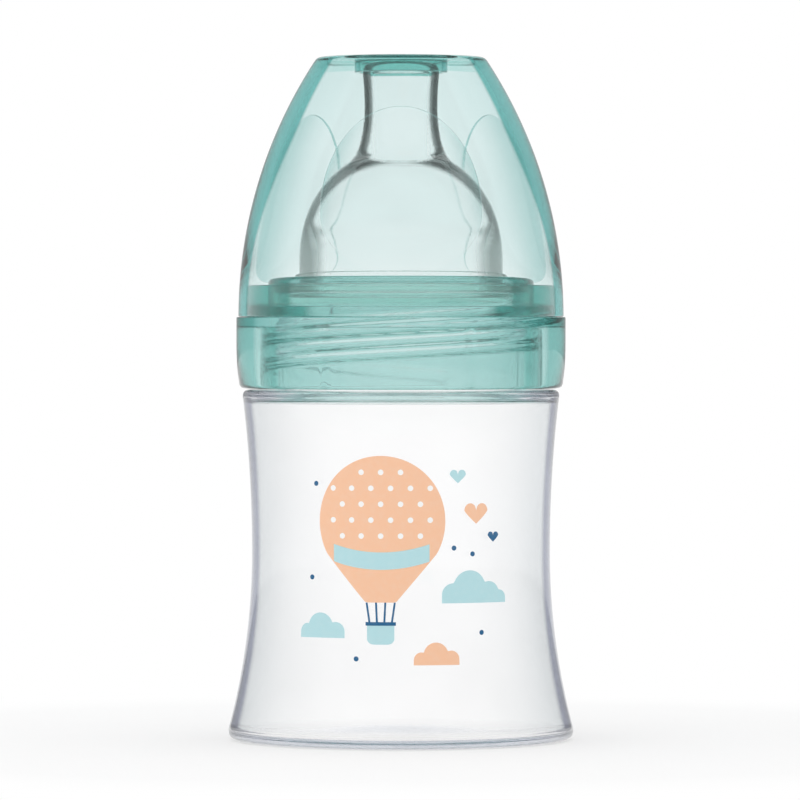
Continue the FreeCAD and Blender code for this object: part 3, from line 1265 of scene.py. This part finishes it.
@dataclass
class Teat:
    """The soft teat, in millimetres."""

    flange_radius: float = 25.6
    flange_bottom: float = 89.4
    flange_top: float = 91.2
    lip_radius: float = 22.5
    lip_wall: float = 1.6
    lip_depth: float = 1.2
    body_radius: float = 20.4
    bead_radius: float = 21.2
    bead_bottom: float = 92.8
    bead_height: float = 1.1
    bead_round: float = 0.4
    groove_round: float = 0.2
    plate_gap: float = 0.1
    base_bore: float = 15.6
    inner_bead: float = 99.3
    inner_bead_radius: float = 14.9
    slope_top: float = 103.8
    breast_bottom: float = 97.0
    breast_wall: float = 2.0
    root_radius: float = 9.2
    root_height: float = 115.6
    root_round: float = 2.0
    waist_radius: float = 7.3
    waist_height: float = 125.9
    tip_radius: float = 7.95
    tip_round: float = 2.8
    tip_inner_round: float = 1.6
    root_inner_round: float = 1.2
    wall: float = 2.0
    tip_wall: float = 1.8
    feed_hole: float = 0.4
    soft_corner: float = 0.5
    inner_round: float = 2.4
    steps: int = 168

    def outline(self) -> Outline:
        """Draw the half-section.

        Returns:
            The closed section.
        """
        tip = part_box("teat")[1].z / MM
        soft = self.soft_corner
        breast = Dome(self.body_radius, self.breast_bottom, self.root_radius, self.root_height)
        waist_bore = self.waist_radius - self.wall
        inner_root = breast.height_at(waist_bore, self.breast_wall)
        plate_top = self.bead_bottom - self.plate_gap
        inside = self.lip_radius - self.lip_wall
        section = Outline(self.feed_hole, tip)
        section.line(self.feed_hole, tip - self.tip_wall, parts=2)
        section.line(self.tip_radius - self.wall, tip - self.tip_wall, parts=4, rounded=self.tip_inner_round)
        section.arc(waist_bore, self.waist_height, Heading.DOWN, parts=12, arriving=True)
        section.line(waist_bore, inner_root, parts=10, rounded=self.root_inner_round)
        section.curve(breast, self.slope_top, self.breast_wall, parts=24, rounded=self.inner_round)
        section.line(self.inner_bead_radius, self.inner_bead, parts=4, rounded=self.inner_round)
        section.line(self.base_bore, plate_top, parts=4, rounded=soft)
        section.line(self.base_bore, self.flange_bottom, parts=4, rounded=soft)
        section.line(inside, self.flange_bottom, parts=2, rounded=soft)
        section.line(inside, self.flange_bottom - self.lip_depth, parts=2, rounded=soft)
        section.line(self.lip_radius, self.flange_bottom - self.lip_depth, parts=2, rounded=soft)
        section.line(self.lip_radius, self.flange_bottom, parts=2, rounded=soft)
        section.line(self.flange_radius, self.flange_bottom, parts=2, rounded=soft)
        section.line(self.flange_radius, self.flange_top, parts=2, rounded=soft)
        section.line(self.body_radius, self.flange_top, parts=2, rounded=self.groove_round)
        section.line(self.body_radius, self.bead_bottom, parts=2, rounded=self.groove_round)
        section.line(self.bead_radius, self.bead_bottom, rounded=self.bead_round)
        section.line(self.bead_radius, self.bead_bottom + self.bead_height, parts=2, rounded=self.bead_round)
        section.line(self.body_radius, self.bead_bottom + self.bead_height, rounded=self.groove_round)
        section.line(self.body_radius, self.breast_bottom, parts=4)
        section.curve(breast, self.root_height, 0.0, parts=30, rounded=self.root_round)
        section.arc(self.waist_radius, self.waist_height, Heading.UP, parts=12, arriving=True)
        section.arc(self.tip_radius, tip, Heading.UP, parts=12, rounded=self.tip_round)
        section.line(self.feed_hole, tip, parts=4)
        return section

    def slope(self, height: float) -> float:
        """Share of the way up the inner slope, from 0 at the inner bead to 1 at the breast."""
        share = (height - self.inner_bead) / (self.slope_top - self.inner_bead)
        return min(max(share, 0.0), 1.0)

    def band(self, radius: float, height: float) -> float:
        """Where the painted dark rim shade of the wall starts: where the sight first meets the inner wall.

        Args:
            radius: radius of the face.
            height: height of the face.

        Returns:
            How far the face turns aside there.
        """
        if height > self.waist_height and radius < self.waist_radius - self.wall:
            return NO_BAND
        wall = self.wall if height > self.root_height else self.breast_wall
        inner = self.inner_bead_radius + (radius - wall - self.inner_bead_radius) * self.slope(height)
        open_share = min(max(inner / radius, 0.0), 1.0)
        return 1 - math.sqrt(1 - open_share ** 2)

    def deep(self, radius: float, height: float) -> float:
        """Mark the thick base, whose painted rim shade is wide and pale."""
        return 1 - self.slope(height)

    def build(self) -> None:
        """Make and dress the teat."""
        teat = turned("teat_shell", self.outline(), self.steps)
        dress(teat, SILICONE, "teat", band=self.band, deep=self.deep)
        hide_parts("teat")


@dataclass
class Cap:
    """The domed cap with its egg-shaped panels and plug ring, in millimetres."""

    radius: float = 32.5
    bore: float = 31.25
    wall: float = 2.2
    seat_top: float = 90.85
    rim_drop: float = 0.12
    taper_top: float = 112.0
    taper_round: float = 6.0
    seat_round: float = 4.0
    skirt_band: float = 0.64
    band_top: float = 124.0
    top_radius: float = 16.75
    top_thickness: float = 1.2
    top_round: float = 0.9
    plug_bore: float = 8.2
    plug_radius: float = 9.3
    plug_depth: float = 2.2
    panels: int = 3
    panel_half_width: float = 15.8
    panel_centre: float = 20.3
    panel_rise: float = 21.0
    panel_drop: float = 12.2
    panel_depth: float = 0.5
    panel_points: int = 144
    cutter_reach: float = 1.1
    soft_corner: float = 0.25
    steps: int = 216

    @cached_property
    def dome(self) -> Dome:
        """The dome's outside."""
        low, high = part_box("cap")
        return Dome(self.radius, low.z / MM - self.rim_drop, self.top_radius, high.z / MM)

    def outline(self) -> Outline:
        """Draw the half-section.

        Returns:
            The section, from the ceiling's middle round to the top's middle.
        """
        dome = self.dome
        soft = self.soft_corner
        ceiling = dome.top_height - self.top_thickness
        section = Outline(0.0, ceiling)
        section.line(self.plug_bore, ceiling, parts=4, rounded=soft)
        section.line(self.plug_bore, ceiling - self.plug_depth, parts=2, rounded=soft)
        section.line(self.plug_radius, ceiling - self.plug_depth, parts=2, rounded=soft)
        section.line(self.plug_radius, ceiling, parts=2, rounded=soft)
        section.line(dome.radius_at(ceiling, self.wall), ceiling, parts=4, rounded=soft)
        section.curve(dome, self.taper_top, self.wall, parts=36, rounded=self.taper_round)
        section.line(self.bore, self.seat_top, parts=14, rounded=self.seat_round)
        section.line(self.bore, dome.foot_height, parts=6, rounded=soft)
        section.line(self.radius, dome.foot_height, parts=2, rounded=soft)
        section.curve(dome, dome.top_height, 0.0, parts=60, rounded=self.top_round)
        section.line(0.0, dome.top_height, parts=4)
        return section

    def panel_cutter(self) -> bpy.types.Object:
        """Model what is cut away at the front panel: an egg-shaped block, hollowed to the panel's floor.

        Returns:
            The cutter.
        """
        dome = self.dome
        floor = Outline(0.0, dome.foot_height)
        floor.line(dome.radius_at(dome.foot_height, self.panel_depth), dome.foot_height, parts=2)
        floor.curve(dome, dome.top_height, self.panel_depth, parts=60)
        floor.line(0.0, dome.top_height, parts=2)
        core = turned("panel_floor", floor, self.steps)
        bpy.ops.object.select_all(action="DESELECT")
        bpy.ops.mesh.primitive_circle_add(vertices=self.panel_points, radius=1.0, fill_type="NGON")
        cutter = bpy.context.object
        cutter.name = "panel_cutter"
        for index, vertex in enumerate(cutter.data.vertices):
            angle = TAU * index / self.panel_points
            reach = self.panel_rise if math.cos(angle) > 0 else self.panel_drop
            height = dome.foot_height + self.panel_centre + reach * math.cos(angle)
            vertex.co = Vector((self.panel_half_width * math.sin(angle), 0.0, height)) * MM
        bpy.ops.object.mode_set(mode="EDIT")
        bpy.ops.mesh.select_all(action="SELECT")
        forwards = (0, -self.cutter_reach * self.radius * MM, 0)
        bpy.ops.mesh.extrude_region_move(TRANSFORM_OT_translate={"value": forwards})
        bpy.ops.mesh.select_all(action="SELECT")
        bpy.ops.mesh.normals_make_consistent(inside=False)
        bpy.ops.object.mode_set(mode="OBJECT")
        subtract(cutter, core)
        return cutter

    def band(self, radius: float, height: float) -> float:
        """Where the painted rim shade of the wall starts: later on the thin skirt than on the dome.

        Args:
            radius: radius of the face; not used.
            height: height of the face.

        Returns:
            How far the face turns aside there.
        """
        share = smooth_step((height - self.seat_top) / (self.band_top - self.seat_top))
        return self.skirt_band + (TEAL_CAP.edge_from - self.skirt_band) * share

    def deep(self, radius: float, height: float) -> float:
        """Mark the flat top and the plug ring."""
        low = self.dome.top_height - self.top_thickness
        if radius < self.plug_radius + self.soft_corner:
            low -= self.plug_depth
        return float(height > low - self.soft_corner)

    def build(self) -> None:
        """Make and dress the cap."""
        cap = turned("cap_shell", self.outline(), self.steps)
        mark_faces(cap, PANEL_MARK, [0.0] * len(cap.data.polygons))
        cutter = self.panel_cutter()
        mark_faces(cutter, PANEL_MARK, [1.0] * len(cutter.data.polygons))
        for index in range(self.panels):
            copy = cutter.copy()
            copy.data = cutter.data.copy()
            copy.data.transform(Matrix.Rotation(TAU * index / self.panels, 4, "Z"))
            bpy.context.scene.collection.objects.link(copy)
            subtract(cap, copy)
        bpy.data.objects.remove(cutter)
        bpy.ops.object.shade_smooth_by_angle(angle=SMOOTH_ANGLE)
        dress(cap, TEAL_CAP, "cap", band=self.band, deep=self.deep)
        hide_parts("cap")


@dataclass
class Studio:
    """A pale floor, a white surround, a soft lamp and the camera, in metres.

    A span holds the two values between which a change comes in.
    """

    floor_half: float = 3.0
    floor_drop: float = 0.0001
    floor_tones: tuple[Colour, Colour] = ((0.95, 0.95, 0.95), (0.93, 0.935, 0.94))
    tone_scale: float = 40.0
    shadow_span: Span = (0.07, 0.16)
    shadow_lift: float = 0.55
    glass_floor: float = 0.8
    eye: Point = (-0.0002, -1.3, 0.086)
    aim: Point = (-0.0002, 0.0, 0.0678)
    frame_height: float = 0.160
    sensor: float = 36.0
    ceiling: float = 0.85
    ceiling_span: Span = (0.2, 0.75)
    right_side: float = 0.88
    right_span: Span = (0.1, 1.0)
    mirrored: float = 0.5
    lamp_place: Point = (-1.2, -0.9, 0.8)
    lamp_size: float = 1.6
    lamp_power: float = 2.0
    bounces: int = 48

    def world(self) -> None:
        """Make the surround.

        It is white to the eye, a little greyer above and at the right through glass, and grey to reflections.
        """
        world = bpy.data.worlds.new("studio")
        bpy.context.scene.world = world
        graph = Graph(world, "ShaderNodeOutputWorld")
        place = graph.add("ShaderNodeTexCoord", out="Generated")
        parts = graph.node("ShaderNodeSeparateXYZ", None, {0: place})
        height = Sock(graph, parts.outputs["Z"])
        side = Sock(graph, parts.outputs["X"])
        through = graph.ray("Transmission")
        reflected = (graph.ray("Glossy") - through).larger(0.0)
        ceiling = graph.mixed(height.step(*self.ceiling_span), WHITE, (self.ceiling,) * 3)
        shaded = graph.mixed(side.step(*self.right_span), ceiling, (self.right_side,) * 3)
        mirrored = graph.mixed(reflected, WHITE, (self.mirrored,) * 3)
        colour = graph.mixed(through, mirrored, shaded)
        shader = graph.add("ShaderNodeBackground", None, {"Color": colour, "Strength": 1.0})
        graph.finish("Surface", shader)

    def floor(self) -> None:
        """Lay the floor: it keeps a light shadow near the bottle and runs out to white."""
        bpy.ops.object.select_all(action="DESELECT")
        bpy.ops.mesh.primitive_plane_add(size=2 * self.floor_half, location=(0, 0, -self.floor_drop))
        plane = bpy.context.object
        plane.name = "floor"
        material = bpy.data.materials.new("pale_floor")
        graph = Graph(material, "ShaderNodeOutputMaterial")
        place = graph.place()
        apart = graph.add("ShaderNodeVectorMath", {"operation": "LENGTH"}, {0: place}, "Value")
        colour = graph.mixed(graph.noise(place, self.tone_scale), *self.floor_tones)
        matt = graph.add("ShaderNodeBsdfDiffuse", None, {"Color": colour})
        white = graph.add("ShaderNodeEmission", None, {"Color": WHITE, "Strength": 1.0})
        glossy = graph.ray("Glossy")
        seen = graph.ray("Camera").larger(glossy).larger(graph.ray("Transmission"))
        share = apart.step(*self.shadow_span) * seen
        share = share.larger(self.glass_floor * glossy).larger(self.shadow_lift * seen)
        shader = graph.add("ShaderNodeMixShader", None, {0: share, 1: matt, 2: white})
        graph.finish("Surface", shader)
        plane.data.materials.append(material)

    def aimed(self, data: bpy.types.ID, place: Point) -> bpy.types.Object:
        """Set up a lamp or a camera that faces the bottle.

        Args:
            data: the lamp's or camera's data, whose name it takes.
            place: where it stands.

        Returns:
            The lamp or camera.
        """
        fixture = bpy.data.objects.new(data.name, data)
        fixture.location = place
        sight = Vector(self.aim) - Vector(place)
        fixture.rotation_euler = sight.to_track_quat("-Z", "Y").to_euler()
        bpy.context.scene.collection.objects.link(fixture)
        return fixture

    def lamp(self) -> None:
        """Hang a soft lamp at the left, which doesn't show in gloss or through glass."""
        light = bpy.data.lights.new("left_lamp", "AREA")
        light.shape = "SQUARE"
        light.size = self.lamp_size
        light.energy = self.lamp_power
        lamp = self.aimed(light, self.lamp_place)
        lamp.visible_glossy = lamp.visible_transmission = False

    def camera(self) -> None:
        """Set up the camera at the photograph's angle."""
        data = bpy.data.cameras.new("camera")
        data.sensor_width = self.sensor
        data.lens = self.sensor * abs(self.eye[1]) / self.frame_height
        bpy.context.scene.camera = self.aimed(data, self.eye)

    def build(self) -> None:
        """Set up the studio."""
        scene = bpy.context.scene
        scene.view_settings.view_transform = "Standard"
        for kind in ("max", "glossy", "transmission"):
            setattr(scene.cycles, f"{kind}_bounces", self.bounces)
        self.world()
        self.floor()
        self.lamp()
        self.camera()


def main() -> None:
    """Build the studio and each piece in order."""
    logging.basicConfig(level=logging.INFO, format="%(name)s %(message)s")
    Studio().build()
    bottle = Bottle()
    bottle.build()
    Print(bottle).build()
    ScrewRing().build()
    Teat().build()
    Cap().build()


if __name__ == "__main__":
    main()
